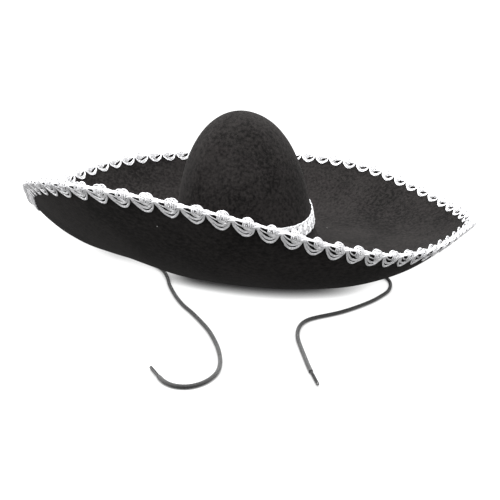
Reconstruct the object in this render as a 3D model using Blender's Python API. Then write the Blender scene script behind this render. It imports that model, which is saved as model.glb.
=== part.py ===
"""Wide-brimmed felt sombrero with silver braid trim, an inner sweatband and a laced chin cord on each side.

The hat stands on the underside of its brim. Metres, +Z up, origin on the table under the middle of the brim,
wearer's right and left along X. The felt is in two pressed pieces: a domed crown that leans a little, and a
brim. From the seam under the crown braid the brim flares down to a narrow flat foot that touches the table,
and then curls up to a wavy rim.
"""

import math

import bmesh
import bpy
from mathutils import Matrix, Vector

# Felt shell
FELT = 0.002  # thickness
AROUND = 48  # facets around the hat
RIM_RADIUS = 0.3096
RIM_RADIUS_WAVES = (  # lobes, cosine and sine amplitudes
    (1, -0.0087, 0.0100),
    (2, -0.0122, 0.0030),
    (3, 0.0107, 0.0125),
    (4, -0.0034, -0.0017),
    (5, 0.0005, 0.0037),
)
RIM_HEIGHT = 0.0848
RIM_HEIGHT_WAVES = (
    (1, -0.0140, -0.0087),
    (2, -0.0212, 0.0156),
    (3, 0.0092, -0.0054),
    (4, -0.0032, -0.0042),
    (5, 0.0001, -0.0038),
)
BRIM_CURL = 3.397  # power of the brim's upward curve, which changes around the hat
BRIM_CURL_WAVES = ((1, -0.077, 0.909), (2, 0.195, -0.684), (3, -0.072, 0.185))
BRIM_SLOPE = 0.150  # share of the rise that is a straight slope
# Rows of facets on the brim, from its foot to its rim. The braid covers the last two.
BRIM_SHARES = (0.0, 0.1, 0.22, 0.35, 0.48, 0.61, 0.73, 0.84, 0.93, 1.0)
FOOT_INNER = 0.1145
FOOT_OUTER = 0.1235
SIDE_LIFT = 0.0100  # clearance under the brim at its sides, where the cords come out
LIFT_FROM, LIFT_TO = 0.45, 0.75  # the lift grows between these values of |cos(angle)|

FOOT_FLATNESS = 0.0004  # the underside is levelled where it is lower than this
FLARE_ROWS = 6

# Crown
CROWN_ROWS = 10
CROWN_RADIUS = 0.092  # outside, at the foot of the crown
CROWN_TAPER = 0.0258
CROWN_DOME = 3.74
CROWN_TOP = 0.1915
CROWN_FOOT = 0.0478
CROWN_FOOT_WAVES = ((1, 0.0029, 0.0102), (2, -0.0019, 0.0069))
CROWN_OFFSET = -0.0075
CROWN_LEAN = -0.0570
FLARE_POWER = 1.5

# Trim
GAP = 0.0003  # between pieces that touch
BAND_GAP = 0.0005  # between the felt and the braid and tape sewn on it
BAND_CLEARANCE = 0.001  # of both bands' lower edges above the crown's foot
BRAID = 0.0018  # thickness of both braids
RIM_BRAID_INNER_SHARE = 0.85  # length of the braid's upper leg as a share of its lower one
CROWN_BRAID_WIDTH = 0.0195
SWEATBAND = 0.0008
SWEATBAND_WIDTH = 0.026

# Chin cords
CORD = 0.0038  # diameter
AGLET = 0.0027
HOLE_GAP = 0.0010  # the punched holes are loose on the cord
HOLE_CUTTER = 0.02  # length of the punch
KNOT = 0.0080  # diameter across the knot
KNOT_HEIGHT = 0.0060
TUBE_STEP = 0.0095
CORD_ROUTES = {
    "left": (
        (-0.1090, 0.0281, 0.0160),
        (-0.1090, 0.0280, 0.0115),
        (-0.1094, 0.0266, 0.0068),
        (-0.1107, 0.0224, 0.0033),
        (-0.1125, 0.0165, 0.0021),
        (-0.1150, 0.0080, 0.0021),
        (-0.1185, -0.0060, 0.0021),
        (-0.1210, -0.0280, 0.0021),
        (-0.1205, -0.0530, 0.0021),
        (-0.1135, -0.0790, 0.0021),
        (-0.1040, -0.1010, 0.0021),
        (-0.0970, -0.1260, 0.0021),
        (-0.0895, -0.1630, 0.0021),
        (-0.0790, -0.2010, 0.0021),
        (-0.0690, -0.2290, 0.0021),
        (-0.0570, -0.2550, 0.0021),
        (-0.0462, -0.2810, 0.0021),
        (-0.0370, -0.3060, 0.0021),
        (-0.0300, -0.3320, 0.0021),
        (-0.0250, -0.3570, 0.0021),
        (-0.0222, -0.3830, 0.0021),
        (-0.0232, -0.4050, 0.0021),
        (-0.0285, -0.4215, 0.0021),
        (-0.0365, -0.4330, 0.0021),
        (-0.0465, -0.4390, 0.0021),
        (-0.0570, -0.4380, 0.0021),
        (-0.0655, -0.4310, 0.0021),
        (-0.0715, -0.4210, 0.0021),
    ),
    "right": (
        (0.1062, -0.0288, 0.0160),
        (0.1063, -0.0288, 0.0115),
        (0.1076, -0.0293, 0.0068),
        (0.1116, -0.0311, 0.0033),
        (0.1172, -0.0338, 0.0021),
        (0.1248, -0.0384, 0.0021),
        (0.1405, -0.0515, 0.0021),
        (0.1530, -0.0670, 0.0021),
        (0.1635, -0.0850, 0.0021),
        (0.1695, -0.1050, 0.0021),
        (0.1690, -0.1290, 0.0021),
        (0.1620, -0.1550, 0.0021),
        (0.1500, -0.1770, 0.0021),
        (0.1360, -0.1975, 0.0021),
        (0.1185, -0.2180, 0.0021),
        (0.1005, -0.2360, 0.0021),
        (0.0855, -0.2475, 0.0021),
        (0.0730, -0.2560, 0.0021),
        (0.0620, -0.2660, 0.0021),
        (0.0545, -0.2800, 0.0021),
        (0.0502, -0.2990, 0.0021),
        (0.0490, -0.3210, 0.0021),
        (0.0505, -0.3430, 0.0021),
        (0.0525, -0.3650, 0.0021),
        (0.0545, -0.3860, 0.0021),
        (0.0562, -0.4005, 0.0021),
    ),
}
AGLET_TIPS = {"left": (-0.0812, -0.4005, 0.0021), "right": (0.0602, -0.4275, 0.0021)}

FELT_COLOUR = (0.018, 0.018, 0.019)
SILVER_COLOUR = (0.80, 0.80, 0.82)
TAPE_COLOUR = (0.012, 0.012, 0.013)
CORD_COLOUR = (0.015, 0.015, 0.016)
TIP_COLOUR = (0.030, 0.030, 0.032)


def clear_scene():
    for obj in list(bpy.data.objects):
        bpy.data.objects.remove(obj)


def material(name, colour, roughness, metallic=0.0):
    made = bpy.data.materials.new(name)
    made.use_nodes = True
    shader = made.node_tree.nodes["Principled BSDF"]
    shader.inputs["Base Color"].default_value = (*colour, 1.0)
    shader.inputs["Roughness"].default_value = roughness
    shader.inputs["Metallic"].default_value = metallic
    return made


def smooth(value):
    value = min(max(value, 0.0), 1.0)
    return value * value * (3 - 2 * value)


def waves(angle, terms):
    return sum(c * math.cos(n * angle) + s * math.sin(n * angle) for n, c, s in terms)


def rim_radius(angle):
    return RIM_RADIUS + waves(angle, RIM_RADIUS_WAVES)


def rim_height(angle):
    return RIM_HEIGHT + waves(angle, RIM_HEIGHT_WAVES)


def brim_curl(angle):
    return BRIM_CURL + waves(angle, BRIM_CURL_WAVES)


def crown_foot(angle):
    """Height of the line where the crown meets its flare: highest at the back, lowest at the front right."""
    return CROWN_FOOT + waves(angle, CROWN_FOOT_WAVES)


def side_lift(angle):
    return SIDE_LIFT * smooth((abs(math.cos(angle)) - LIFT_FROM) / (LIFT_TO - LIFT_FROM))


def crown_point(rise, angle):
    """Middle of the felt on the crown. rise runs from 0 at its foot to 1 at its top."""
    radius = (CROWN_RADIUS - FELT / 2 - CROWN_TAPER * rise) * math.sqrt(max(1 - rise**CROWN_DOME, 0))
    height = crown_foot(angle) + (CROWN_TOP - FELT / 2 - crown_foot(angle)) * rise
    centre = CROWN_OFFSET + CROWN_LEAN * (CROWN_TOP - CROWN_FOOT) * rise
    return Vector((centre + radius * math.cos(angle), radius * math.sin(angle), height))


def flare_point(share, angle):
    """Middle of the felt between the crown's foot, at 0, and the inner edge of the flat foot, at 1."""
    turn = share * math.pi / 2
    out = 1 - math.cos(turn) ** (2 / FLARE_POWER)
    down = math.sin(turn) ** (2 / FLARE_POWER)
    start = CROWN_RADIUS - FELT / 2
    radius = start + (FOOT_INNER - start) * out
    foot = FELT / 2 + side_lift(angle)
    height = crown_foot(angle) + (foot - crown_foot(angle)) * down
    centre = CROWN_OFFSET * (1 - out)
    return Vector((centre + radius * math.cos(angle), radius * math.sin(angle), height))


def brim_point(share, angle):
    """Middle of the felt on the brim, from the flat foot's outer edge at 0 to the rim at 1."""
    radius = FOOT_OUTER + (rim_radius(angle) - FOOT_OUTER) * share
    rise = (1 - BRIM_SLOPE) * share ** brim_curl(angle) + BRIM_SLOPE * share
    height = FELT / 2 + rim_height(angle) * rise + side_lift(angle) * (1 - share) ** 2
    return Vector((radius * math.cos(angle), radius * math.sin(angle), height))


def crown_profile(angle):
    """Middle line of the crown's felt at one angle, from just beside its top to its lower edge."""
    rises = [math.cos(step * math.pi / 2 / CROWN_ROWS) ** 0.9 for step in range(1, CROWN_ROWS)]
    return [crown_point(rise, angle) for rise in (*rises, 0.0)]


def brim_profile(angle):
    """Middle line of the brim's felt at one angle, from the seam with the crown to the rim."""
    line = [flare_point(step / FLARE_ROWS, angle) for step in range(FLARE_ROWS + 1)]
    line[0].z -= GAP
    return line + [brim_point(share, angle) for share in BRIM_SHARES]


def normals_of(line, angle):
    """Unit normals of a line at one angle, which runs outward or down, pointing to the hat's upper side."""
    across = Vector((-math.sin(angle), math.cos(angle), 0))
    normals = []
    for index in range(len(line)):
        along = line[min(index + 1, len(line) - 1)] - line[max(index - 1, 0)]
        normals.append(along.cross(across).normalized())
    return normals


def offset(line, angle, distance):
    return [point + normal * distance for point, normal in zip(line, normals_of(line, angle))]


def angles():
    return [2 * math.pi * step / AROUND for step in range(AROUND)]


def mesh_object(name, mesh_builder, finish):
    mesh = bpy.data.meshes.new(name)
    built = bmesh.new()
    mesh_builder(built)
    bmesh.ops.recalc_face_normals(built, faces=built.faces)
    built.to_mesh(mesh)
    built.free()
    mesh.materials.append(finish)
    mesh.shade_smooth()
    mesh.set_sharp_from_angle(angle=math.radians(35))
    obj = bpy.data.objects.new(name, mesh)
    bpy.context.scene.collection.objects.link(obj)
    return obj


def bridge(built, first, second):
    """Quads between two open rows of the same length, joined end to end."""
    count = len(first)
    for index in range(count):
        after = (index + 1) % count
        built.faces.new((first[index], first[after], second[after], second[index]))


def rows_of(built, sections):
    """Vertices of the sections, as one closed ring of vertices for each point of a section."""
    return [[built.verts.new(section[index]) for section in sections] for index in range(len(sections[0]))]


def build_crown(built):
    """Domed cup: two skins that meet along its lower edge."""
    upper = rows_of(built, [offset(crown_profile(angle), angle, FELT / 2) for angle in angles()])
    lower = rows_of(built, [offset(crown_profile(angle), angle, -FELT / 2) for angle in angles()])
    centre = CROWN_OFFSET + CROWN_LEAN * (CROWN_TOP - CROWN_FOOT)
    for rows, top in ((upper, CROWN_TOP), (lower, CROWN_TOP - FELT)):
        apex = built.verts.new((centre, 0, top))
        for index in range(AROUND):
            built.faces.new((apex, rows[0][index], rows[0][(index + 1) % AROUND]))
        for first, second in zip(rows, rows[1:]):
            bridge(built, first, second)
    bridge(built, upper[-1], lower[-1])


def ring(built, sections):
    """Closed ring whose cross-section is a closed outline, given at each angle."""
    rows = rows_of(built, sections)
    for first, second in zip(rows, rows[1:] + rows[:1]):
        bridge(built, first, second)


def two_sided(line, angle, first, second):
    """Closed outline that runs along the line at one distance from it and back at the other."""
    return offset(line, angle, first) + offset(line, angle, second)[::-1]


def build_brim(built):
    ring(built, [two_sided(brim_profile(angle), angle, FELT / 2, -FELT / 2) for angle in angles()])
    for vert in built.verts:
        if vert.co.z < FOOT_FLATNESS:
            vert.co.z = 0.0


def rim_braid_section(angle):
    """U-shaped outline folded over the rim, its long leg on the brim's underside."""
    line = [brim_point(share, angle) for share in BRIM_SHARES[-3:]]
    normals = normals_of(line, angle)
    along = (line[2] - line[1]).normalized()
    inside = FELT / 2 + BAND_GAP
    outside = inside + BRAID
    outline = (
        (1, 0, -outside),
        (0, BAND_GAP + BRAID, -outside),
        (0, BAND_GAP + BRAID, outside),
        (RIM_BRAID_INNER_SHARE, 0, outside),
        (RIM_BRAID_INNER_SHARE, 0, inside),
        (0, BAND_GAP, inside),
        (0, BAND_GAP, -inside),
        (1, 0, -inside),
    )
    return [
        line[2].lerp(line[1], back) + normals[2].lerp(normals[1], back) * up + along * out
        for back, out, up in outline
    ]


def crown_band_section(angle, near, far, width):
    """Outline of a band that follows the crown's wall: near and far are distances from the felt's middle."""
    height = CROWN_TOP - crown_foot(angle)
    levels = [BAND_CLEARANCE + width * step / 3 for step in range(4)]
    line = [crown_point(level / height, angle) for level in reversed(levels)]
    return two_sided(line, angle, near, far)


def build_rim_braid(built):
    ring(built, [rim_braid_section(angle) for angle in angles()])


def build_crown_braid(built):
    near = FELT / 2 + BAND_GAP
    ring(built, [crown_band_section(angle, near, near + BRAID, CROWN_BRAID_WIDTH) for angle in angles()])


def build_sweatband(built):
    near = -FELT / 2 - BAND_GAP
    ring(built, [crown_band_section(angle, near, near - SWEATBAND, SWEATBAND_WIDTH) for angle in angles()])


def punch_hole(brim, side):
    """Punches the round hole that the cord hangs straight down through."""
    bpy.ops.mesh.primitive_cylinder_add(
        vertices=16, radius=CORD / 2 + HOLE_GAP, depth=HOLE_CUTTER, location=CORD_ROUTES[side][0]
    )
    cutter = bpy.context.object
    cutter.name = "cutter_" + side
    cutter.hide_render = True
    cutter.display_type = "WIRE"
    cut = brim.modifiers.new("hole_" + side, "BOOLEAN")
    cut.operation = "DIFFERENCE"
    cut.object = cutter


def catmull(before, start, end, after, share):
    """Point between start and end on the smooth curve through four route points."""
    square, cube = share * share, share**3
    return 0.5 * (
        2 * start
        + (end - before) * share
        + (2 * before - 5 * start + 4 * end - after) * square
        + (3 * start - before - 3 * end + after) * cube
    )


def smooth_route(route, step):
    """Points about one step apart on a smooth curve through all the route's points."""
    points = [Vector(point) for point in route]
    padded = [2 * points[0] - points[1], *points, 2 * points[-1] - points[-2]]
    fine = []
    for index in range(1, len(padded) - 2):
        fine += [catmull(*padded[index - 1 : index + 3], share / 16) for share in range(16)]
    fine.append(points[-1])
    lengths = [0.0]
    for first, second in zip(fine, fine[1:]):
        lengths.append(lengths[-1] + (second - first).length)
    count = round(lengths[-1] / step)
    spaced, index = [], 0
    for number in range(count + 1):
        target = lengths[-1] * number / count
        while index < len(lengths) - 2 and lengths[index + 1] < target:
            index += 1
        part = (target - lengths[index]) / (lengths[index + 1] - lengths[index])
        spaced.append(fine[index].lerp(fine[index + 1], part))
    return spaced


def chin_cord(side, finish):
    curve = bpy.data.curves.new("chin_cord_" + side, "CURVE")
    curve.dimensions = "3D"
    curve.bevel_depth = CORD / 2
    curve.bevel_resolution = 2
    curve.use_fill_caps = True
    points = smooth_route(CORD_ROUTES[side], TUBE_STEP)
    spline = curve.splines.new("POLY")
    spline.points.add(len(points) - 1)
    for target, point in zip(spline.points, points):
        target.co = (*point, 1.0)
    curve.materials.append(finish)
    obj = bpy.data.objects.new("chin_cord_" + side, curve)
    bpy.context.scene.collection.objects.link(obj)


def aglet(side, finish):
    """Rolled tip on the cord's end, slimmer than the cord, with a rounded point."""
    start, tip = Vector(CORD_ROUTES[side][-1]), Vector(AGLET_TIPS[side])
    length = (tip - start).length
    stations = (
        (GAP, 0.80),
        (GAP + 0.001, 1.0),
        (length - 0.0025, 1.0),
        (length - 0.0008, 0.72),
        (length, 0.30),
    )

    def build(built):
        sides = 10
        rows = []
        for reach, scale in stations:
            radius = AGLET / 2 * scale
            turns = [2 * math.pi * step / sides for step in range(sides)]
            rows.append([built.verts.new((radius * math.cos(t), radius * math.sin(t), reach)) for t in turns])
        for first, second in zip(rows, rows[1:]):
            bridge(built, first, second)
        built.faces.new(rows[0])
        built.faces.new(rows[-1])

    obj = mesh_object("aglet_" + side, build, finish)
    obj.matrix_world = Matrix.Translation(start) @ (tip - start).to_track_quat("Z", "Y").to_matrix().to_4x4()


def cord_knot(side, finish):
    """Stopper knot above the hole, as a flattened ball that rests just clear of the sloping felt."""
    place = Vector(CORD_ROUTES[side][0])

    def build(built):
        bmesh.ops.create_uvsphere(built, u_segments=12, v_segments=8, radius=0.5)

    obj = mesh_object("cord_knot_" + side, build, finish)
    obj.scale = (KNOT, KNOT, KNOT_HEIGHT)
    obj.location = place + Vector((0, 0, GAP + KNOT_HEIGHT / 2))


def main():
    clear_scene()
    felt_finish = material("felt", FELT_COLOUR, 0.92)
    braid_finish = material("silver_braid", SILVER_COLOUR, 0.35, 0.4)
    tape_finish = material("sweatband_tape", TAPE_COLOUR, 0.8)
    cord_finish = material("cord", CORD_COLOUR, 0.75)
    tip_finish = material("aglet", TIP_COLOUR, 0.35)
    mesh_object("crown", build_crown, felt_finish)
    brim = mesh_object("brim", build_brim, felt_finish)
    mesh_object("rim_braid", build_rim_braid, braid_finish)
    mesh_object("crown_braid", build_crown_braid, braid_finish)
    mesh_object("sweatband", build_sweatband, tape_finish)
    for side in CORD_ROUTES:
        punch_hole(brim, side)
        chin_cord(side, cord_finish)
        aglet(side, tip_finish)
        cord_knot(side, cord_finish)


main()
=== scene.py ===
import math

import bpy
import numpy as np
from mathutils import Matrix, Vector


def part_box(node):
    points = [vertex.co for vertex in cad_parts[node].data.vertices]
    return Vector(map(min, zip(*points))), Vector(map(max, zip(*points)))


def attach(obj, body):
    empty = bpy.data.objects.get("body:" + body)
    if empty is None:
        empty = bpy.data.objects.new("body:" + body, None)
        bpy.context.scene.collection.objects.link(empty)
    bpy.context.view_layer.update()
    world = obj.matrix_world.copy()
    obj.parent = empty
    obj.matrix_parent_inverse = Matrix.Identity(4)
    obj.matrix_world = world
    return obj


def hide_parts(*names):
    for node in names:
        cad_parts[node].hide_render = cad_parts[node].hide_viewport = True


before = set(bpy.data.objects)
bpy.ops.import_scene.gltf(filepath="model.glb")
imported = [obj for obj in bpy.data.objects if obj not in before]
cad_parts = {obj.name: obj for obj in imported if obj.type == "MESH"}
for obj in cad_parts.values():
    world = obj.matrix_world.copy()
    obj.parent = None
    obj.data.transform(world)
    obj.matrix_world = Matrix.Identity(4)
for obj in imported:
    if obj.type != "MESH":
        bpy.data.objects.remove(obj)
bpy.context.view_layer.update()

# ---------------------------------------------------------------- driving dimensions, metres

FELT = 0.002
RIM_RADIUS = 0.3096
RIM_RADIUS_WAVES = (  # lobes, cosine and sine amplitudes
    (1, -0.0087, 0.0100),
    (2, -0.0122, 0.0030),
    (3, 0.0107, 0.0125),
    (4, -0.0034, -0.0017),
    (5, 0.0005, 0.0037),
)
RIM_HEIGHT = 0.0848
RIM_HEIGHT_WAVES = (
    (1, -0.0140, -0.0087),
    (2, -0.0212, 0.0156),
    (3, 0.0092, -0.0054),
    (4, -0.0032, -0.0042),
    (5, 0.0001, -0.0038),
)
BRIM_CURL = 3.397  # power of the brim's upward curve, which changes around the hat
BRIM_CURL_WAVES = ((1, -0.077, 0.909), (2, 0.195, -0.684), (3, -0.072, 0.185))
BRIM_SLOPE = 0.150  # share of the rise that is a straight slope
FOOT_INNER = 0.1145
FOOT_OUTER = 0.1235
SIDE_LIFT = 0.0100
LIFT_FROM, LIFT_TO = 0.45, 0.75
CROWN_RADIUS = 0.092
CROWN_TAPER = 0.0258
CROWN_DOME = 3.74
CROWN_TOP = 0.1915
CROWN_FOOT = 0.0478
CROWN_FOOT_WAVES = ((1, 0.0029, 0.0102), (2, -0.0019, 0.0069))
CROWN_OFFSET = -0.0075
CROWN_LEAN = -0.0570
FLARE_POWER = 1.5
SEAM = 0.0003

CORD = 0.0038
CORD_ROUTES = {  # points of each cord's middle line, from its knot above the hole to its aglet
    "left": (
        (-0.1090, 0.0281, 0.0160),
        (-0.1090, 0.0280, 0.0115),
        (-0.1094, 0.0266, 0.0068),
        (-0.1107, 0.0224, 0.0033),
        (-0.1125, 0.0165, 0.0021),
        (-0.1150, 0.0080, 0.0021),
        (-0.1185, -0.0060, 0.0021),
        (-0.1210, -0.0280, 0.0021),
        (-0.1205, -0.0530, 0.0021),
        (-0.1135, -0.0790, 0.0021),
        (-0.1040, -0.1010, 0.0021),
        (-0.0970, -0.1260, 0.0021),
        (-0.0895, -0.1630, 0.0021),
        (-0.0790, -0.2010, 0.0021),
        (-0.0690, -0.2290, 0.0021),
        (-0.0570, -0.2550, 0.0021),
        (-0.0462, -0.2810, 0.0021),
        (-0.0370, -0.3060, 0.0021),
        (-0.0300, -0.3320, 0.0021),
        (-0.0250, -0.3570, 0.0021),
        (-0.0222, -0.3830, 0.0021),
        (-0.0232, -0.4050, 0.0021),
        (-0.0285, -0.4215, 0.0021),
        (-0.0365, -0.4330, 0.0021),
        (-0.0465, -0.4390, 0.0021),
        (-0.0570, -0.4380, 0.0021),
        (-0.0655, -0.4310, 0.0021),
        (-0.0715, -0.4210, 0.0021),
    ),
    "right": (
        (0.1062, -0.0288, 0.0160),
        (0.1063, -0.0288, 0.0115),
        (0.1076, -0.0293, 0.0068),
        (0.1116, -0.0311, 0.0033),
        (0.1172, -0.0338, 0.0021),
        (0.1248, -0.0384, 0.0021),
        (0.1405, -0.0515, 0.0021),
        (0.1530, -0.0670, 0.0021),
        (0.1635, -0.0850, 0.0021),
        (0.1695, -0.1050, 0.0021),
        (0.1690, -0.1290, 0.0021),
        (0.1620, -0.1550, 0.0021),
        (0.1500, -0.1770, 0.0021),
        (0.1360, -0.1975, 0.0021),
        (0.1185, -0.2180, 0.0021),
        (0.1005, -0.2360, 0.0021),
        (0.0855, -0.2475, 0.0021),
        (0.0730, -0.2560, 0.0021),
        (0.0620, -0.2660, 0.0021),
        (0.0545, -0.2800, 0.0021),
        (0.0502, -0.2990, 0.0021),
        (0.0490, -0.3210, 0.0021),
        (0.0505, -0.3430, 0.0021),
        (0.0525, -0.3650, 0.0021),
        (0.0545, -0.3860, 0.0021),
        (0.0562, -0.4005, 0.0021),
    ),
}
AGLET_TIPS = {"left": (-0.0812, -0.4005, 0.0021), "right": (0.0602, -0.4275, 0.0021)}

MM = 0.001
FOOT_FLATNESS = 0.0004  # the underside is levelled where it is lower than this
HOLE_RADIUS = 0.0029
HOLE_TOP = 0.03  # a cord's hole is cut only below this height

# Camera
CAMERA_PLACE = (0.0008, -1.026, 0.2654)
CAMERA_PITCH = math.radians(14.163)
CAMERA_ROLL = math.radians(1.783)
CAMERA_LENS = 56.56

# Chin cords
LACE_STEP = 0.0004
LACE_REPEAT = 0.0056
KNOT_SPREAD = 0.0023
KNOT_RISE = 0.0012
KNOT_LACE = 0.80  # thickness of the lace in its pulled knot, as a share of the free lace
KNOT_POINTS = 160
AGLET_RADIUS = 0.00135
AGLET_PINCHES = ((0.0030, 0.10), (0.0052, 0.06))  # (place along the film, depth as a share of its radius)
AGLET_PINCH_WIDTH = 0.0007
AGLET_TURN = 0.9  # radians from the top of the film to its overlapping edge

# Felt meshes
CROWN_COLUMNS, CROWN_LINES = 320, 110
BRIM_COLUMNS, FLARE_LINES, BRIM_LINES = 480, 36, 110
LINE_POWER = 0.9  # power that evens out the spacing of the meshes' lines
STILL_LINES = 12  # lines over which the brim's unevenness fades out towards its two edges
# Unevenness of the felt: (length of its waves, seed, depth)
CROWN_RIPPLES = (0.045, 3, 0.0003)
BRIM_RIPPLES = (0.07, 5, 0.0004)
FELT_SHEEN = 0.012
# Soft hollows in the crown: (rise, direction in degrees, height, width in degrees, depth).
# A negative depth is a soft ridge.
CROWN_DENTS = (
    (0.62, -108, 0.26, 15, 0.0060),
    (0.70, -75, 0.16, 14, 0.0048),
    (0.55, -134, 0.30, 11, -0.0030),
)

# Rim braid
RIM_REPEATS = 82
RIM_STATIONS = 4097
FOLD_RADIUS = 0.0022
STRAND_STEP = 0.0008
SPAN_STEPS = 6  # steps of a smooth path between two of its points
RIM_JITTER = 0.00018  # unevenness of the strands
LOOP_STRAND, SPINE_STRAND = 0.66, 0.66  # radii in millimetres
# Loops of the braid, outer ones first: (millimetres down at the neck, and at the bottom,
# share of a repeat that the strand starts after the neck).
# Down is on the brim's underside, and negative on its upper side.
LOOPS = (
    (3.8, 20.4, 0.000),
    (3.1, 18.7, 0.012),
    (2.6, 14.9, 0.035),
    (2.1, 13.2, 0.050),
    (1.6, 7.4, 0.090),
    (-3.9, -15.0, 0.000),
    (-3.3, -13.2, 0.012),
    (-2.8, -11.4, 0.030),
    (-2.2, -5.8, 0.070),
)
LOOP_LEAN = {1: 1.12, -1: 0.90}  # lean of the loops on the underside and on the upper side
LOOP_POINTS = 10
LOOP_LIFT = 0.9  # millimetres that the strands rise where they crowd together at a neck
STRAND_HEIGHT = 0.75  # millimetres from the felt to the middle of a strand
SPINE_ROWS = (-4.4, -3.2, -2.0, -0.8, 0.4, 1.6)
SPINE_WEAVE = 0.45
SPINE_POINTS = 6
# Rosettes: each is a knob on the rim's edge with two faces, at a share of each repeat.
# Its middle is this many millimetres down from the edge, and it has this radius in millimetres.
ROSETTE_SHARE, ROSETTE_DOWN, ROSETTE_RADIUS = 0.66, 0.2, 5.9
ROSETTE_LEAN = math.radians(45)  # from the slope of the felt to upright
ROSETTE_TURNS, ROSETTE_POINTS, ROSETTE_START = 1.55, 44, math.radians(165)
ROSETTE_INNER, ROSETTE_STRAND = 0.7, 0.62  # radii in millimetres
ROSETTE_BASE, ROSETTE_DOME = 0.55, 2.0  # heights in millimetres

# Crown braid
BAND_MIDDLE = 0.01075
BAND_HALF = 0.00975
BAND_PLAITS, BAND_STRANDS, BAND_WAVES = 5, 6, 9
BAND_EDGE = 0.0014  # from the braid's edge to the middle of its outermost strand
BAND_FAN = 0.155  # radians between the strands of a plait
BAND_STRAND, BAND_HEIGHT, BAND_WEAVE = 0.60, 1.25, 0.55  # millimetres
BAND_WOBBLE = 0.00025
BAND_POINTS = 1500

# Sweatband
TAPE_LOW, TAPE_WIDTH, TAPE, TAPE_GAP = 0.001, 0.026, 0.0008, 0.0005
TAPE_RIBS, TAPE_RIB = 420, 0.0002
TAPE_LEVELS, TAPE_EDGE = 9, 0.00015

# Floor and light
FLOOR_HALF = 25.0
FLOOR_DROP = 0.0002
# Brightness of the studio's walls and ceiling: (height of the direction, from -1 to 1, strength)
STUDIO = ((-1.0, 0.4), (-0.14, 0.4), (-0.06, 1.1), (0.35, 1.5), (1.0, 4.2))
FLOOR_SHADE = 0.013  # reach of the painted shadow around the hat on the glowing white table
LIGHTS = (  # name, place, target, size, watts
    ("top", (-0.2, 0.3, 2.2), (0.0, 0.0, 0.05), 1.6, 70.0),
    ("front", (0.6, -2.2, 0.9), (0.0, 0.0, 0.10), 0.9, 18.0),
    ("left", (-2.4, -0.5, 0.35), (-0.2, 0.0, 0.10), 0.8, 48.0),
)


# ---------------------------------------------------------------- shape of the felt, on numpy arrays


def waves(angle, terms):
    return sum(c * np.cos(n * angle) + s * np.sin(n * angle) for n, c, s in terms)


def rim_radius(angle):
    return RIM_RADIUS + waves(angle, RIM_RADIUS_WAVES)


def rim_height(angle):
    return RIM_HEIGHT + waves(angle, RIM_HEIGHT_WAVES)


def brim_curl(angle):
    return BRIM_CURL + waves(angle, BRIM_CURL_WAVES)


def smooth(value):
    value = np.clip(value, 0, 1)
    return value * value * (3 - 2 * value)


def crown_foot(angle):
    return CROWN_FOOT + waves(angle, CROWN_FOOT_WAVES)


def side_lift(angle):
    return SIDE_LIFT * smooth((np.abs(np.cos(angle)) - LIFT_FROM) / (LIFT_TO - LIFT_FROM))


def polar(centre, radius, angle, height):
    return np.stack([centre + radius * np.cos(angle), radius * np.sin(angle), height + 0 * angle], -1)


def crown_point(rise, angle):
    """Middle of the felt on the crown. rise runs from 0 at its foot to 1 at its top."""
    dome = np.sqrt(np.maximum(1 - rise**CROWN_DOME, 0))
    radius = (CROWN_RADIUS - FELT / 2 - CROWN_TAPER * rise) * dome
    foot = crown_foot(angle)
    height = foot + (CROWN_TOP - FELT / 2 - foot) * rise
    centre = CROWN_OFFSET + CROWN_LEAN * (CROWN_TOP - CROWN_FOOT) * rise
    return polar(centre, radius, angle, height)


def flare_point(share, angle):
    """Middle of the felt between the crown's foot, at 0, and the inner edge of the flat foot, at 1."""
    turn = share * math.pi / 2
    out = 1 - np.cos(turn) ** (2 / FLARE_POWER)
    down = np.sin(turn) ** (2 / FLARE_POWER)
    start = CROWN_RADIUS - FELT / 2
    foot = FELT / 2 + side_lift(angle)
    height = crown_foot(angle) + (foot - crown_foot(angle)) * down
    return polar(CROWN_OFFSET * (1 - out), start + (FOOT_INNER - start) * out, angle, height)


def brim_point(share, angle):
    """Middle of the felt on the brim, from the flat foot's outer edge at 0 to the rim at 1."""
    radius = FOOT_OUTER + (rim_radius(angle) - FOOT_OUTER) * share
    rise = (1 - BRIM_SLOPE) * share ** brim_curl(angle) + BRIM_SLOPE * share
    height = FELT / 2 + rim_height(angle) * rise + side_lift(angle) * (1 - share) ** 2
    return polar(0.0, radius, angle, height)


def unit(vectors):
    return vectors / np.maximum(np.linalg.norm(vectors, axis=-1, keepdims=True), 1e-12)


def distances(path):
    """Distance travelled along the path at each of its points."""
    return np.concatenate([[0.0], np.cumsum(np.linalg.norm(np.diff(path, axis=0), axis=1))])


def frame_at(surface, share, angle, step=0.004):
    """Point, outward or downward direction and upper side's normal of a surface at (share, angle)."""
    along = unit(surface(share + step, angle) - surface(share - step, angle))
    around = unit(surface(share, angle + step) - surface(share, angle - step))
    return surface(share, angle), along, unit(np.cross(along, around))


def under_crown(share, angle):
    """The crown's surface with its parameter turned round, so that it runs down as the brim's runs out."""
    return crown_point(-share, angle)


# ---------------------------------------------------------------- mesh helpers


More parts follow.
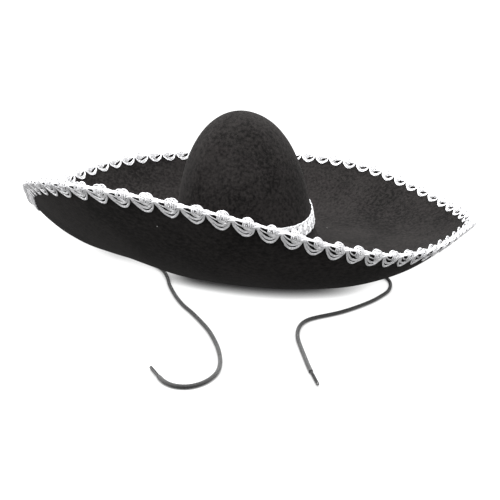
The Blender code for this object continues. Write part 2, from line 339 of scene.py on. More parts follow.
def add_mesh(name, verts, faces, material, yarn=None):
    """Mesh object of numpy vertices and quads.

    yarn holds (length along, cosine, sine) of each vertex on a strand.
    """
    mesh = bpy.data.meshes.new(name)
    verts, faces = np.asarray(verts, np.float32).reshape(-1, 3), np.asarray(faces, np.int32)
    mesh.vertices.add(len(verts))
    mesh.vertices.foreach_set("co", verts.ravel())
    mesh.loops.add(faces.size)
    mesh.loops.foreach_set("vertex_index", faces.ravel())
    mesh.polygons.add(len(faces))
    mesh.polygons.foreach_set("loop_start", np.arange(0, faces.size, 4, dtype=np.int32))
    mesh.update(calc_edges=True)
    mesh.validate()
    if yarn is not None:
        layer = mesh.attributes.new("yarn", "FLOAT_VECTOR", "POINT")
        layer.data.foreach_set("vector", np.asarray(yarn, np.float32).ravel())
    mesh.materials.append(material)
    mesh.shade_smooth()
    obj = bpy.data.objects.new(name, mesh)
    bpy.context.scene.collection.objects.link(obj)
    return obj


def grid_faces(rows, columns, closed_rows=False, closed_columns=True):
    """Quads of a grid of vertices. Columns go around, rows go along."""
    row = np.arange(rows if closed_rows else rows - 1)[:, None]
    column = np.arange(columns if closed_columns else columns - 1)[None, :]
    beside = (column + 1) % columns
    start, after = row * columns, (row + 1) % rows * columns
    quads = [start + column, start + beside, after + beside, after + column]
    return np.stack(np.broadcast_arrays(*quads), -1).reshape(-1, 4)


def joined_rows(first, second, columns):
    """Quads between two closed rows of vertices, given the number of each row's first vertex."""
    column = np.arange(columns)
    beside = (column + 1) % columns
    return np.stack([first + column, first + beside, second + beside, second + column], -1)


def catmull(points, per_span, closed):
    """Smooth curve through the points, with so many steps for each span."""
    points = np.asarray(points, float)
    if closed:
        padded = np.concatenate([points[-1:], points, points[:2]])
    else:
        padded = np.concatenate([2 * points[:1] - points[1:2], points, 2 * points[-1:] - points[-2:-1]])
    share = (np.arange(per_span) / per_span)[None, :, None]
    before, start, end, after = (padded[i : len(padded) - 3 + i, None] for i in range(4))
    curve = 0.5 * (
        2 * start
        + (end - before) * share
        + (2 * before - 5 * start + 4 * end - after) * share**2
        + (3 * start - before - 3 * end + after) * share**3
    )
    curve = curve.reshape(-1, points.shape[1])
    return curve if closed else np.concatenate([curve, points[-1:]])


def spaced(path, step):
    """The path again, with points one step apart. Its first three columns are the place."""
    travelled = distances(path[:, :3])
    count = max(int(round(travelled[-1] / step)), 2)
    stops = np.linspace(0, travelled[-1], count + 1)
    return np.stack([np.interp(stops, travelled, path[:, axis]) for axis in range(path.shape[1])], -1)


def tube(path, normal, across, radius, turn, travelled):
    """Points and yarn marks of a tube, whose radius is given for each point and each turn of the section."""
    cosine, sine = np.cos(turn), np.sin(turn)
    spoke = cosine[..., None] * normal[:, None] + sine[..., None] * across[:, None]
    points = path[:, None] + radius[..., None] * spoke
    marks = np.stack(np.broadcast_arrays(travelled[:, None], cosine, sine), -1)
    return points, marks


def section_turns(sides):
    return (2 * math.pi * np.arange(sides) / sides)[None, :]


class Yarn:
    """Collects strands into one mesh."""

    def __init__(self):
        self.verts, self.faces, self.marks, self.count = [], [], [], 0

    def strand(self, path, up, radius, sides=6, closed=False, ply=0.10, ply_length=0.0030):
        """Tube along the path. up keeps the section from rolling, and ply is the depth of its twist."""
        if closed:
            tangent = unit(np.roll(path, -1, axis=0) - np.roll(path, 1, axis=0))
        else:
            tangent = unit(np.gradient(path, axis=0))
        normal = unit(up - (up * tangent).sum(1, keepdims=True) * tangent)
        travelled = distances(path)
        turn = section_turns(sides)
        size = radius * (1 + ply * np.cos(2 * turn - 2 * math.pi * travelled[:, None] / ply_length))
        points, marks = tube(path, normal, np.cross(tangent, normal), size, turn, travelled)
        self.grid(points, marks, closed)
        if not closed:
            self.cap(points[0][::-1], path[0])
            self.cap(points[-1], path[-1])

    def grid(self, points, marks, closed):
        """Adds a tube's rings of points. A closed one runs round to its start."""
        rows, sides = points.shape[:2]
        self.faces.append(grid_faces(rows, sides, closed_rows=closed) + self.count)
        self.verts.append(points.reshape(-1, 3))
        self.marks.append(marks.reshape(-1, 3))
        self.count += rows * sides

    def cap(self, ring, centre):
        """Closes a strand's end with quads around a centre point."""
        sides = len(ring)
        middle = (ring + np.roll(ring, -1, axis=0)) / 2
        points = np.concatenate([ring, middle, centre[None]])
        side = np.arange(sides)
        quads = [side, side + sides, 0 * side + 2 * sides, (side - 1) % sides + sides]
        self.faces.append(np.stack(quads, -1) + self.count)
        self.verts.append(points)
        self.marks.append(np.zeros_like(points) + (0, 1, 0))
        self.count += len(points)

    def build(self, name, material):
        verts, faces = np.concatenate(self.verts), np.concatenate(self.faces)
        return add_mesh(name, verts, faces, material, np.concatenate(self.marks))


def place(piece, slot, *nodes):
    """The piece rides on the hat and stands for the CAD nodes, which it hides. slot is not used."""
    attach(piece, "root")
    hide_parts(*nodes)
    return piece


# ---------------------------------------------------------------- materials


class Shading:
    """A new Principled material whose nodes are added one call at a time."""

    def __init__(self, name):
        self.material = bpy.data.materials.new(name)
        self.material.use_nodes = True
        self.tree = self.material.node_tree
        self.shader = self.tree.nodes["Principled BSDF"]
        self.place = self.add("ShaderNodeTexCoord").outputs["Object"]

    def add(self, kind, inputs=(), **settings):
        node = self.tree.nodes.new(kind)
        for name, value in settings.items():
            setattr(node, name, value)
        for socket, value in dict(inputs).items():
            if isinstance(value, bpy.types.NodeSocket):
                self.tree.links.new(value, node.inputs[socket])
            else:
                node.inputs[socket].default_value = value
        return node

    def set(self, **values):
        for name, value in values.items():
            self.shader.inputs[name.replace("_", " ")].default_value = value

    def link(self, socket, output):
        self.tree.links.new(output, self.shader.inputs[socket])

    def noise(self, scale, detail=4.0, roughness=0.6, vector=None):
        inputs = {"Vector": vector or self.place, "Scale": scale, "Detail": detail, "Roughness": roughness}
        return self.add("ShaderNodeTexNoise", inputs).outputs["Fac"]

    def ramp(self, factor, *stops):
        """Colour ramp. Each stop is (position, colour)."""
        node = self.add("ShaderNodeValToRGB", {"Fac": factor})
        elements = node.color_ramp.elements
        elements[0].position, elements[1].position = stops[0][0], stops[-1][0]
        for position, _ in stops[1:-1]:
            elements.new(position)
        for element, (_, colour) in zip(elements, stops):
            element.color = (*colour, 1.0) if len(colour) == 3 else colour
        return node.outputs["Color"]

    def math(self, operation, first, second=0.0):
        return self.add("ShaderNodeMath", {0: first, 1: second}, operation=operation).outputs[0]

    def mix(self, factor, first, second, blend="MIX"):
        node = self.add("ShaderNodeMix", data_type="RGBA", blend_type=blend)
        for index, value in ((0, factor), (6, first), (7, second)):
            if isinstance(value, bpy.types.NodeSocket):
                self.tree.links.new(value, node.inputs[index])
            else:
                node.inputs[index].default_value = value if index == 0 else (*value, 1.0)
        return node.outputs[2]

    def bump(self, height, distance, strength=1.0, normal=None):
        inputs = {"Height": height, "Distance": distance, "Strength": strength}
        if normal:
            inputs["Normal"] = normal
        return self.add("ShaderNodeBump", inputs).outputs["Normal"]


def grey(value):
    return (value, value, value)


def felt_material(name, dark, light):
    """Pressed nonwoven felt: tangled fibres, mottled where they lie thin or thick, with a little lint."""
    made = Shading(name)
    mottle = made.noise(240.0, 4.0, 0.62)
    cloud = made.noise(14.0, 3.0, 0.5)
    fibre = made.noise(900.0, 3.0, 0.7)
    patches = made.math("ADD", made.math("MULTIPLY", mottle, 0.7), made.math("MULTIPLY", cloud, 0.3))
    colour = made.ramp(patches, (0.40, dark), (0.50, tuple(np.add(dark, light) / 2)), (0.62, light))
    colour = made.mix(0.55, colour, made.ramp(fibre, (0.30, grey(0.45)), (0.74, grey(1.0))), "MULTIPLY")
    lint = made.add("ShaderNodeTexVoronoi", {"Vector": made.place, "Scale": 34.0}).outputs
    chance = made.add("ShaderNodeSeparateColor", {0: lint["Color"]}).outputs[0]
    present = made.math("GREATER_THAN", chance, 0.93)
    speck = made.math("MULTIPLY", made.math("LESS_THAN", lint["Distance"], 0.022), present)
    made.link("Base Color", made.mix(speck, colour, grey(0.55)))
    made.link("Roughness", made.ramp(mottle, (0.3, grey(0.86)), (0.7, grey(0.97))))
    pressed = made.bump(made.noise(260.0, 4.0, 0.7), 0.0006, 0.55)
    made.link("Normal", made.bump(fibre, 0.0002, 0.7, pressed))
    made.set(Specular_IOR_Level=0.05, Sheen_Weight=FELT_SHEEN, Sheen_Roughness=0.45)
    made.shader.inputs["Sheen Tint"].default_value = (1.0, 0.97, 0.94, 1.0)
    return made.material


def yarn_phase(made, turns_per_metre, starts=1.0):
    """Sine of a helix of windings around a strand."""
    attribute = made.add("ShaderNodeAttribute", attribute_name="yarn")
    marks = made.add("ShaderNodeSeparateXYZ", {0: attribute.outputs["Vector"]})
    around = made.math("ARCTAN2", marks.outputs[2], marks.outputs[1])
    along = made.math("MULTIPLY", marks.outputs[0], 2 * math.pi * turns_per_metre)
    return made.math("SINE", made.math("ADD", along, made.math("MULTIPLY", around, starts)))


def silver_material():
    """Silver gimp: a core wound with bright flat metallic thread."""
    made = Shading("silver_gimp")
    winding = yarn_phase(made, 1700.0)
    tone = made.ramp(made.noise(420.0, 3.0, 0.6), (0.32, (0.66, 0.66, 0.68)), (0.62, (0.90, 0.90, 0.91)))
    # Painted shade: the base colour darkens in the grooves between the windings.
    shade = made.ramp(winding, (0.0, grey(0.60)), (0.75, grey(1.0)))
    made.link("Base Color", made.mix(0.8, tone, shade, "MULTIPLY"))
    made.link("Roughness", made.ramp(made.noise(600.0, 2.0), (0.3, grey(0.24)), (0.7, grey(0.46))))
    made.link("Normal", made.bump(winding, 0.00012, 0.6))
    made.set(Metallic=0.35, Specular_IOR_Level=0.6, Sheen_Weight=0.1)
    return made.material


def cord_material():
    """Black braided polyester lace: fine ribs on each plait, a soft sheen and a few pale fibres."""
    made = Shading("braided_lace")
    ribs = yarn_phase(made, 900.0, 3.0)
    tone = made.ramp(made.noise(700.0, 4.0, 0.7), (0.35, grey(0.008)), (0.75, grey(0.030)))
    # Painted shade: the base colour darkens in the grooves between the ribs.
    shade = made.ramp(ribs, (0.0, grey(0.5)), (1.0, grey(1.0)))
    made.link("Base Color", made.mix(0.5, tone, shade, "MULTIPLY"))
    made.link("Normal", made.bump(ribs, 0.0001, 0.6))
    made.set(Roughness=0.72, Specular_IOR_Level=0.35, Sheen_Weight=0.25, Sheen_Roughness=0.4)
    return made.material


def aglet_material():
    """Shrunk black film over the lace's end."""
    made = Shading("aglet_film")
    made.link("Base Color", made.ramp(made.noise(260.0, 3.0), (0.3, grey(0.010)), (0.7, grey(0.028))))
    made.link("Roughness", made.ramp(made.noise(500.0, 2.0), (0.3, grey(0.22)), (0.7, grey(0.40))))
    made.link("Normal", made.bump(made.noise(340.0, 3.0), 0.0002, 0.4))
    made.set(Specular_IOR_Level=0.5, Coat_Weight=0.2)
    return made.material


def tape_material():
    """Black grosgrain tape with fine cross ribs."""
    made = Shading("grosgrain_tape")
    weave = made.noise(1400.0, 2.0, 0.7)
    made.link("Base Color", made.ramp(weave, (0.3, grey(0.006)), (0.7, grey(0.020))))
    made.link("Normal", made.bump(weave, 0.0001, 0.6))
    made.set(Roughness=0.6, Specular_IOR_Level=0.4, Sheen_Weight=0.2)
    return made.material


# ---------------------------------------------------------------- camera


def add_camera():
    camera = bpy.data.cameras.new("camera")
    camera.lens = CAMERA_LENS
    camera.sensor_width = 36.0
    obj = bpy.data.objects.new("camera", camera)
    bpy.context.scene.collection.objects.link(obj)
    tilt = Matrix.Rotation(math.pi / 2 - CAMERA_PITCH, 4, "X")
    obj.matrix_world = Matrix.Translation(CAMERA_PLACE) @ tilt @ Matrix.Rotation(CAMERA_ROLL, 4, "Z")
    bpy.context.scene.camera = obj


# ---------------------------------------------------------------- chin cords, knots and aglets


def lace_radius(travelled, turn):
    """A round lace of eight plaits: two crossing families of ribs."""
    phase = 2 * math.pi * travelled / LACE_REPEAT
    ribs = np.abs(np.cos(2 * turn + phase)) * np.abs(np.cos(2 * turn - phase))
    return CORD / 2 * (0.94 + 0.12 * ribs)


def cord_frames(path):
    """Two directions across the path that follow it without twisting."""
    tangent = unit(np.gradient(path, axis=0))
    normal = np.zeros_like(path)
    current = np.array([0.0, 0.0, 1.0]) if abs(tangent[0][2]) < 0.8 else np.array([1.0, 0.0, 0.0])
    for index, direction in enumerate(tangent):
        current = current - current.dot(direction) * direction
        current /= np.linalg.norm(current)
        normal[index] = current
    return normal, np.cross(tangent, normal)


def lace_tube(path, size=1.0, sides=24):
    """Points and yarn marks of a braided lace along the path."""
    normal, across = cord_frames(path)
    travelled = distances(path)
    turn = section_turns(sides)
    return tube(path, normal, across, size * lace_radius(travelled[:, None], turn), turn, travelled)


def lace_object(name, path, material, size=1.0, closed=False):
    lace = Yarn()
    points, marks = lace_tube(path, size)
    lace.grid(points, marks, closed)
    if not closed:
        lace.cap(points[0][::-1], path[0])
        lace.cap(points[-1], path[-1])
    return lace.build(name, material)


def knot_path(centre):
    """Flattened trefoil, the line of a pulled overhand knot."""
    turn = np.linspace(0, 2 * math.pi, KNOT_POINTS, endpoint=False)
    ring = np.stack([np.sin(turn) + 2 * np.sin(2 * turn), np.cos(turn) - 2 * np.cos(2 * turn)], -1)
    rise = -np.sin(3 * turn)
    return np.concatenate([ring * KNOT_SPREAD / 3, rise[:, None] * KNOT_RISE], -1) + centre


def aglet_object(side, material):
    """Film wound round the lace's end, with an overlapping edge along it, two pinches and a rounded tip."""
    start, tip = np.array(CORD_ROUTES[side][-1]), np.array(AGLET_TIPS[side])
    length = np.linalg.norm(tip - start)
    along = (tip - start) / length
    up = np.array([0.0, 0.0, 1.0])
    across = np.cross(along, up)
    mouth, body = [-0.0012, -0.0012], np.linspace(0, length - 0.0020, 40)
    reach = np.concatenate([mouth, body, length - np.array([0.0012, 0.0005, 0.0])])
    scale = np.ones(len(reach))
    scale[0], scale[1] = 0.60, 1.02
    scale -= sum(depth * np.exp(-(((reach - at) / AGLET_PINCH_WIDTH) ** 2)) for at, depth in AGLET_PINCHES)
    scale[-3:] = (0.86, 0.62, 0.22)
    turn = np.linspace(0, 2 * math.pi, 36, endpoint=False)
    lap = 1 + 0.07 * turn / (2 * math.pi)
    radius = AGLET_RADIUS * scale[:, None] * lap[None, :]
    cosine, sine = np.cos(turn - AGLET_TURN)[None, :, None], np.sin(turn - AGLET_TURN)[None, :, None]
    points = (start + reach[:, None] * along)[:, None] + radius[..., None] * (cosine * up + sine * across)
    film = Yarn()
    film.grid(points, np.zeros_like(points) + (0, 1, 0), False)
    film.cap(points[0][::-1], points[0].mean(0))
    film.cap(points[-1], points[-1].mean(0))
    return film.build("aglet_film_" + side, material)


def add_cords():
    lace, film = cord_material(), aglet_material()
    for side, route in CORD_ROUTES.items():
        path = spaced(catmull(route, 24, False), LACE_STEP)
        cord = place(lace_object("lace_" + side, path, lace), "cord", "chin_cord_" + side)
        low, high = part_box("cord_knot_" + side)
        turns = knot_path(np.array((low + high) / 2))
        knot = lace_object("knot_" + side, turns, lace, KNOT_LACE, closed=True)
        place(knot, "cord", "cord_knot_" + side)
        aglet = place(aglet_object(side, film), "aglet", "aglet_" + side)


# ---------------------------------------------------------------- felt crown and brim


def ripples(points, size, seed):
    """Smooth unevenness of a few waves in fixed random directions, between about -1 and 1."""
    random = np.random.default_rng(seed)
    total = 0
    for _ in range(9):
        direction = unit(random.normal(size=3)) * 2 * math.pi / (size * random.uniform(0.7, 1.6))
        total = total + np.sin(points @ direction + random.uniform(0, 2 * math.pi))
    return total / 5


def crown_dents(rise, angle):
    """Depth of the soft hollows that handling has left in the crown."""
    total = 0
    for middle, degrees, height, width, depth in CROWN_DENTS:
        turn = (angle - math.radians(degrees) + math.pi) % (2 * math.pi) - math.pi
        fade = -(((rise - middle) / height) ** 2) - (turn / math.radians(width)) ** 2
        total = total + depth * np.exp(fade)
    return total


def crown_surface(rise, angle):
    """Middle of the crown's felt with its hollows and its unevenness."""
    point, _, normal = frame_at(under_crown, -rise, angle)
    size, seed, depth = CROWN_RIPPLES
    return point + normal * (ripples(point, size, seed) * depth - crown_dents(rise, angle))[..., None]


def skins(middle, normals):
    """Upper and lower side of the felt."""
    return middle + normals * FELT / 2, middle - normals * FELT / 2


def grid_normals(grid):
    """Normals of a grid of points on its upper side: rows run out or down, columns around the hat."""
    along = np.gradient(grid, axis=0)
    around = np.roll(grid, -1, axis=1) - np.roll(grid, 1, axis=1)
    return unit(np.cross(along, around))


def dome_cap(first, apex):
    """Quads that take two columns each, between a skin's first row and the vertex at the dome's top."""
    column = np.arange(0, CROWN_COLUMNS, 2)
    beyond = (column + 2) % CROWN_COLUMNS
    return np.stack([first + column, apex + 0 * column, first + beyond, first + column + 1], -1)


def crown_object(material):
    angle = np.linspace(0, 2 * math.pi, CROWN_COLUMNS, endpoint=False)
    fall = np.linspace(0, math.pi / 2, CROWN_LINES + 1)[1:]
    rise = (np.cos(fall) ** LINE_POWER)[:, None]
    middle = crown_surface(np.broadcast_to(rise, (CROWN_LINES, CROWN_COLUMNS)), angle[None, :] + 0 * rise)
    upper, lower = skins(middle, grid_normals(middle))
    under = CROWN_LINES * CROWN_COLUMNS
    edge = under - CROWN_COLUMNS
    quads = grid_faces(CROWN_LINES, CROWN_COLUMNS)
    verts = [upper.reshape(-1, 3), lower.reshape(-1, 3), upper[:1].mean(1), lower[:1].mean(1)]
    faces = [
        quads,
        (quads + under)[:, ::-1],
        dome_cap(0, 2 * under)[:, ::-1],
        dome_cap(under, 2 * under + 1),
        joined_rows(edge, edge + under, CROWN_COLUMNS),
    ]
    return add_mesh("crown_felt", np.concatenate(verts), np.concatenate(faces), material)


def brim_middle(angle):
    """Rows of points across the brim's felt at all the angles: the flare, the flat foot and the brim."""
    rows = [flare_point(share, angle) for share in np.linspace(0, 1, FLARE_LINES)]
    rows[0][:, 2] -= SEAM
    rows += [brim_point(share, angle) for share in np.linspace(0, 1, BRIM_LINES) ** LINE_POWER]
    return np.stack(rows)


def away_from_edges(lines):
    """Share for each line of the brim that is 1 over most of it and fades to 0 at its two edges."""
    line = np.arange(lines)
    return smooth(line / STILL_LINES)[:, None] * smooth((lines - 1 - line) / STILL_LINES)[:, None]


def open_holes(middle, both_skins):
    """Marks the quads inside the cords' holes, and moves the vertices around them onto the holes' edges."""
    beside = np.roll(middle, -1, axis=1)
    centre = (middle[:-1] + middle[1:] + beside[:-1] + beside[1:]) / 4
    open_quad = np.zeros(centre.shape[:2], bool)
    for route in CORD_ROUTES.values():
        hole = np.array(route[0])[:2]
        inside = np.linalg.norm(centre[..., :2] - hole, axis=-1) < HOLE_RADIUS
        inside &= centre[..., 2] < HOLE_TOP
        around_hole = np.zeros(middle.shape[:2], bool)
        for touched in (inside, np.roll(inside, 1, axis=1)):
            around_hole[:-1] |= touched
            around_hole[1:] |= touched
        for skin in both_skins:
            skin[around_hole, :2] = hole + unit(skin[around_hole][:, :2] - hole) * HOLE_RADIUS
        open_quad |= inside
    return open_quad.ravel()


def brim_object(material):
    middle = brim_middle(np.linspace(0, 2 * math.pi, BRIM_COLUMNS, endpoint=False))
    lines = len(middle)
    normals = grid_normals(middle)
    size, seed, depth = BRIM_RIPPLES
    middle = middle + normals * (away_from_edges(lines) * ripples(middle, size, seed) * depth)[..., None]
    upper, lower = skins(middle, normals)
    for skin in (upper, lower):
        skin[..., 2] = np.where(skin[..., 2] < FOOT_FLATNESS, 0.0, skin[..., 2])
    open_quad = open_holes(middle, (upper, lower))
    quads = grid_faces(lines, BRIM_COLUMNS)
    kept = quads[~open_quad]
    under = lines * BRIM_COLUMNS
    rim = under - BRIM_COLUMNS
    faces = [
        kept,
        kept[:, ::-1] + under,
        joined_rows(rim, rim + under, BRIM_COLUMNS),
        joined_rows(under, 0, BRIM_COLUMNS),
        hole_walls(quads, open_quad, under),
    ]
    verts = np.concatenate([upper.reshape(-1, 3), lower.reshape(-1, 3)])
    return add_mesh("brim_felt", verts, np.concatenate(faces), material)


def hole_walls(quads, open_quad, under):
    """Quads between the two skins along the edges of the removed quads."""
    edges = {}
    for quad in quads[open_quad]:
        for first, second in zip(quad, np.roll(quad, -1)):
            key = (min(first, second), max(first, second))
            if key in edges:
                del edges[key]
            else:
                edges[key] = (first, second)
    return np.array([(second, first, first + under, second + under) for first, second in edges.values()])


# ---------------------------------------------------------------- rim braid


def rim_stations():
    """Angles and distances travelled around the rim."""
    angle = np.linspace(0, 2 * math.pi, RIM_STATIONS)
    return angle, distances(brim_point(1.0, angle))


RIM_ANGLES, RIM_TRAVELLED = rim_stations()
RIM_LENGTH = RIM_TRAVELLED[-1]


def angle_at(travelled):
    """Angle at a distance travelled around the rim, which may be below 0 or past a full turn."""
    turns = np.floor(travelled / RIM_LENGTH)
    return np.interp(travelled - turns * RIM_LENGTH, RIM_TRAVELLED, RIM_ANGLES) + 2 * math.pi * turns


def rim_frame(angle, back):
    """Middle of the felt a distance back from the rim, the direction to the rim and the upper normal."""
    slope = np.linalg.norm(brim_point(1.0, angle) - brim_point(0.9, angle), axis=-1) / 0.1
    return frame_at(brim_point, 1 - back / slope, angle)


def on_fold(path):
    """Points of the trim folded over the rim, and the directions away from the felt.

    Each row of the path is (distance around the rim, distance down from its edge, height above the felt).
    Down is along the brim's underside where it is positive, and along its upper side where it is negative.
    """
    travelled, down, height = path.T
    reach = FELT / 2 + height
    turn = np.clip(down / FOLD_RADIUS, -math.pi / 2, math.pi / 2)
    back = np.maximum(np.abs(down) - FOLD_RADIUS * math.pi / 2, 0)
    middle, along, normal = rim_frame(angle_at(travelled), back)
    away = np.cos(turn)[:, None] * along - np.sin(turn)[:, None] * normal
    return middle + reach[:, None] * away, away


def on_knob(path, outward):
    """Points on one face of a knob, and the directions away from it. outward is 1 or -1, inside the hat.

    The knob's lower half lies on the felt and its upper half stands up from the edge.
    """
    travelled, down, height = path.T
    middle, along, normal = rim_frame(angle_at(travelled), np.maximum(down, 0))
    cosine, sine = math.cos(ROSETTE_LEAN), math.sin(ROSETTE_LEAN)
    upright = along * cosine + normal * sine
    stood = smooth(0.5 - down / (2 * MM))[:, None]
    away = unit((1 - stood) * normal * -outward + stood * outward * (along * sine - normal * cosine))
    return middle + upright * np.maximum(-down, 0)[:, None] + away * (FELT / 2 + height)[:, None], away


def loop_cell(neck, bottom, inset):
    """One repeat of a strand that hangs in a loop from neck to neck."""
    side = 1 if bottom > 0 else -1
    cell = []
    for step in range(LOOP_POINTS):
        part = step / LOOP_POINTS
        hang = math.sin(math.pi * part ** LOOP_LEAN[side]) ** 0.75
        crowd = (1 - hang) * inset * 10 * LOOP_LIFT
        cell.append((inset + (1 - 2 * inset) * part, neck + (bottom - neck) * hang, STRAND_HEIGHT + crowd))
    return cell


def spine_cell(down):
    """One repeat of a strand that runs along the rim and weaves a little."""
    cell = []
    for step in range(SPINE_POINTS):
        part = step / SPINE_POINTS
        turn = 2 * math.pi * (part + down / 4)
        height = STRAND_HEIGHT + 0.3 * math.cos(turn + down)
        cell.append((part, down + SPINE_WEAVE * math.sin(turn), height))
    return cell


def around_rim(cell, random, jitter, pitch, repeats):
    """Smooth closed path through one cell's points, repeated around the rim with a little unevenness."""
    cell = np.array([(share * pitch, down * MM, height * MM) for share, down, height in cell])
    points = np.concatenate([cell + (pitch * number, 0, 0) for number in range(repeats)])
    points = points + random.normal(size=points.shape) * jitter * (1.0, 1.0, 0.35)
    full_turn = (pitch * repeats, 0, 0)
    lapped = np.concatenate([points[-2:] - full_turn, points, points[:2] + full_turn])
    return catmull(lapped, SPAN_STEPS, False)[2 * SPAN_STEPS : 1 - 2 * SPAN_STEPS]


def add_rim_braid(material):
    random = np.random.default_rng(11)
    pitch = RIM_LENGTH / RIM_REPEATS
    braid = Yarn()
    cells = [(loop_cell(*loop), LOOP_STRAND) for loop in LOOPS]
    cells += [(spine_cell(down), SPINE_STRAND) for down in SPINE_ROWS]
    for cell, radius in cells:
        path = around_rim(cell, random, RIM_JITTER, pitch, RIM_REPEATS)
        path = spaced(np.concatenate([on_fold(path)[0], path], -1), STRAND_STEP)[:-1]
        points, away = on_fold(path[:, 3:])
        braid.strand(points, away, radius * MM, sides=6, closed=True)
    for number in range(RIM_REPEATS):
        place_at = (number + ROSETTE_SHARE) * pitch
        size = ROSETTE_RADIUS * random.uniform(0.94, 1.06)
        down = ROSETTE_DOWN + random.normal() * 0.25
        for outward in (1, -1):
            add_rosette(braid, place_at, down, outward, size, random)
    return braid.build("rim_gimp", material)


def add_rosette(braid, middle, down, outward, size, random):
    """One face of a knob: two strands wound side by side into a small dome."""
    phase = random.uniform(-0.3, 0.3)
    for start in (0.0, math.pi):
        turn = np.linspace(0, 2 * math.pi * ROSETTE_TURNS, ROSETTE_POINTS)
        radius = size - (size - ROSETTE_INNER) * turn / turn[-1]
        spot = ROSETTE_START + start + phase - turn
        dome = np.sqrt(np.maximum(1 - (radius / (size + ROSETTE_INNER)) ** 2, 0))
        along = middle + outward * radius * MM * np.cos(spot)
        across = (down - radius * np.sin(spot)) * MM
        path = np.stack([along, across, (ROSETTE_BASE + ROSETTE_DOME * dome) * MM], -1)
        points, away = on_knob(path, outward)
        braid.strand(points, away, ROSETTE_STRAND * MM, sides=6)


# ---------------------------------------------------------------- crown braid


def on_crown(path):
    """Points on the crown's outer wall, and the directions away from it.

    Each row of the path is (angle, level above the crown's foot, height above the felt).
    """
    angle, level, height = path.T
    rise = level / (CROWN_TOP - crown_foot(angle))
    middle, _, normal = frame_at(under_crown, -rise, angle)
    return middle + normal * (FELT / 2 + height)[:, None], normal


def add_crown_braid(material):
    random = np.random.default_rng(23)
    braid = Yarn()
    turn = np.linspace(0, 2 * math.pi, BAND_POINTS, endpoint=False)
    for plait in range(BAND_PLAITS):
        phase = BAND_WAVES * turn + 2 * math.pi * plait / BAND_PLAITS
        for strand in range(BAND_STRANDS):
            side = strand - (BAND_STRANDS - 1) / 2
            wobble = BAND_WOBBLE * np.sin(turn * random.integers(20, 60) + random.uniform(0, 6))
            swing = (BAND_HALF - BAND_EDGE) * shaped_sine(phase + side * BAND_FAN)
            height = (BAND_HEIGHT + BAND_WEAVE * np.sin(4 * phase)) * MM
            points, away = on_crown(np.stack([turn, BAND_MIDDLE + swing + wobble, height], -1))
            braid.strand(points, away, BAND_STRAND * MM, sides=6, closed=True)
    return braid.build("crown_gimp", material)


def shaped_sine(phase):
    """A sine with broader tops, as a strand that turns back at the braid's edge."""
    return np.sin(phase) * (1.12 - 0.12 * np.sin(phase) ** 2)


# ---------------------------------------------------------------- sweatband


def add_sweatband(material):
    """Grosgrain tape inside the crown's foot, with cross ribs and rounded edges."""
    columns = 2 * TAPE_RIBS
    angle = np.linspace(0, 2 * math.pi, columns, endpoint=False)
    ribs = np.where(np.arange(columns) % 2 == 0, TAPE_RIB, 0.0)
    levels = TAPE_LOW + TAPE_WIDTH * np.linspace(0, 1, TAPE_LEVELS)
    outline = [(level, -FELT - TAPE_GAP - TAPE) for level in levels]
    outline += [(level, -FELT - TAPE_GAP) for level in levels[::-1]]
    rows = []
    for level, height in outline:
        inner = height < -FELT - TAPE_GAP
        edge = TAPE_EDGE if inner and level in (levels[0], levels[-1]) else 0.0
        path = np.stack([angle, level + 0 * angle, height + edge - ribs * inner], -1)
        rows.append(on_crown(path)[0])
    faces = grid_faces(len(rows), columns, closed_rows=True)
    return add_mesh("grosgrain_sweatband", np.stack(rows), faces, material)


# ---------------------------------------------------------------- floor and light


def add_floor():
    """White table that gives off light of its own, dimmed to a painted shadow where the hat is near. It
    doesn't light the hat.
    """
    low, high = -FLOOR_HALF, FLOOR_HALF
    square = [(low, low, 0), (high, low, 0), (high, high, 0), (low, high, 0)]
    made = Shading("floor")
    made.link("Base Color", made.ramp(made.noise(3.0, 2.0), (0.3, grey(0.10)), (0.7, grey(0.12))))
    open_air = made.add("ShaderNodeAmbientOcclusion", {"Distance": FLOOR_SHADE}, samples=16).outputs["AO"]
    # Painted shadow: the table's own glow fades to dark where the hat is near.
    made.link("Emission Strength", made.ramp(open_air, (0.10, grey(0.02)), (0.80, grey(1.0))))
    made.shader.inputs["Emission Color"].default_value = (1.0, 1.0, 1.0, 1.0)
    made.set(Roughness=0.9, Specular_IOR_Level=0.0)
    floor = add_mesh("floor", square, [(0, 1, 2, 3)], made.material)
    floor.location.z = -FLOOR_DROP
    floor.visible_diffuse = floor.visible_glossy = False


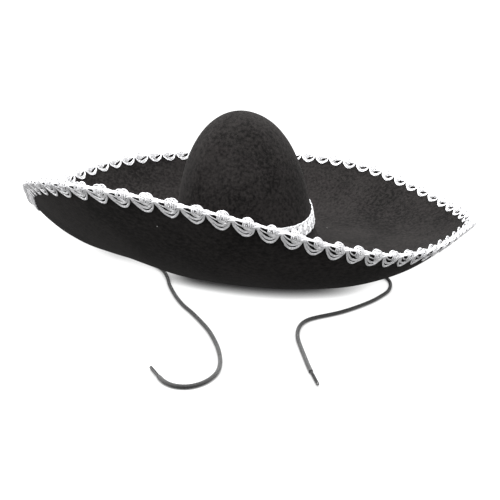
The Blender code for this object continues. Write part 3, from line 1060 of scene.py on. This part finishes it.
def add_area(name, place_at, target, size, watts):
    light = bpy.data.lights.new(name, "AREA")
    light.shape = "SQUARE"
    light.size = size
    light.energy = watts
    obj = bpy.data.objects.new(name, light)
    bpy.context.scene.collection.objects.link(obj)
    direction = Vector(target) - Vector(place_at)
    obj.location = place_at
    obj.rotation_euler = direction.to_track_quat("-Z", "Y").to_euler()


def add_studio():
    """World whose brightness depends only on how high the direction points."""
    world = bpy.data.worlds.new("studio")
    world.use_nodes = True
    nodes, links = world.node_tree.nodes, world.node_tree.links
    height = nodes.new("ShaderNodeSeparateXYZ")
    ramp = nodes.new("ShaderNodeMapRange")
    curve = nodes.new("ShaderNodeFloatCurve")
    links.new(nodes.new("ShaderNodeTexCoord").outputs["Generated"], height.inputs[0])
    links.new(height.outputs["Z"], ramp.inputs["Value"])
    ramp.inputs["From Min"].default_value = -1.0
    links.new(ramp.outputs["Result"], curve.inputs["Value"])
    points = curve.mapping.curves[0].points
    brightest = max(strength for _, strength in STUDIO)
    for _ in STUDIO[2:]:
        points.new(0.5, 0.5)
    for point, (level, strength) in zip(points, STUDIO):
        point.location = ((level + 1) / 2, strength / brightest)
        point.handle_type = "VECTOR"
    curve.mapping.update()
    scale = nodes.new("ShaderNodeMath")
    scale.operation = "MULTIPLY"
    scale.inputs[1].default_value = brightest
    links.new(curve.outputs["Value"], scale.inputs[0])
    links.new(scale.outputs["Value"], nodes["Background"].inputs["Strength"])
    nodes["Background"].inputs["Color"].default_value = (1.0, 1.0, 1.0, 1.0)
    bpy.context.scene.world = world


def add_light():
    bpy.context.scene.view_settings.view_transform = "Standard"
    add_studio()
    for light in LIGHTS:
        add_area(*light)


add_camera()
add_cords()
felt = felt_material("black_felt", (0.0040, 0.0037, 0.0036), (0.0190, 0.0172, 0.0168))
place(crown_object(felt), "felt", "crown")
place(brim_object(felt), "felt", "brim")
silver = silver_material()
place(add_rim_braid(silver), "silver_braid", "rim_braid")
place(add_crown_braid(silver), "silver_braid", "crown_braid")
place(add_sweatband(tape_material()), "sweatband_tape", "sweatband")
add_floor()
add_light()
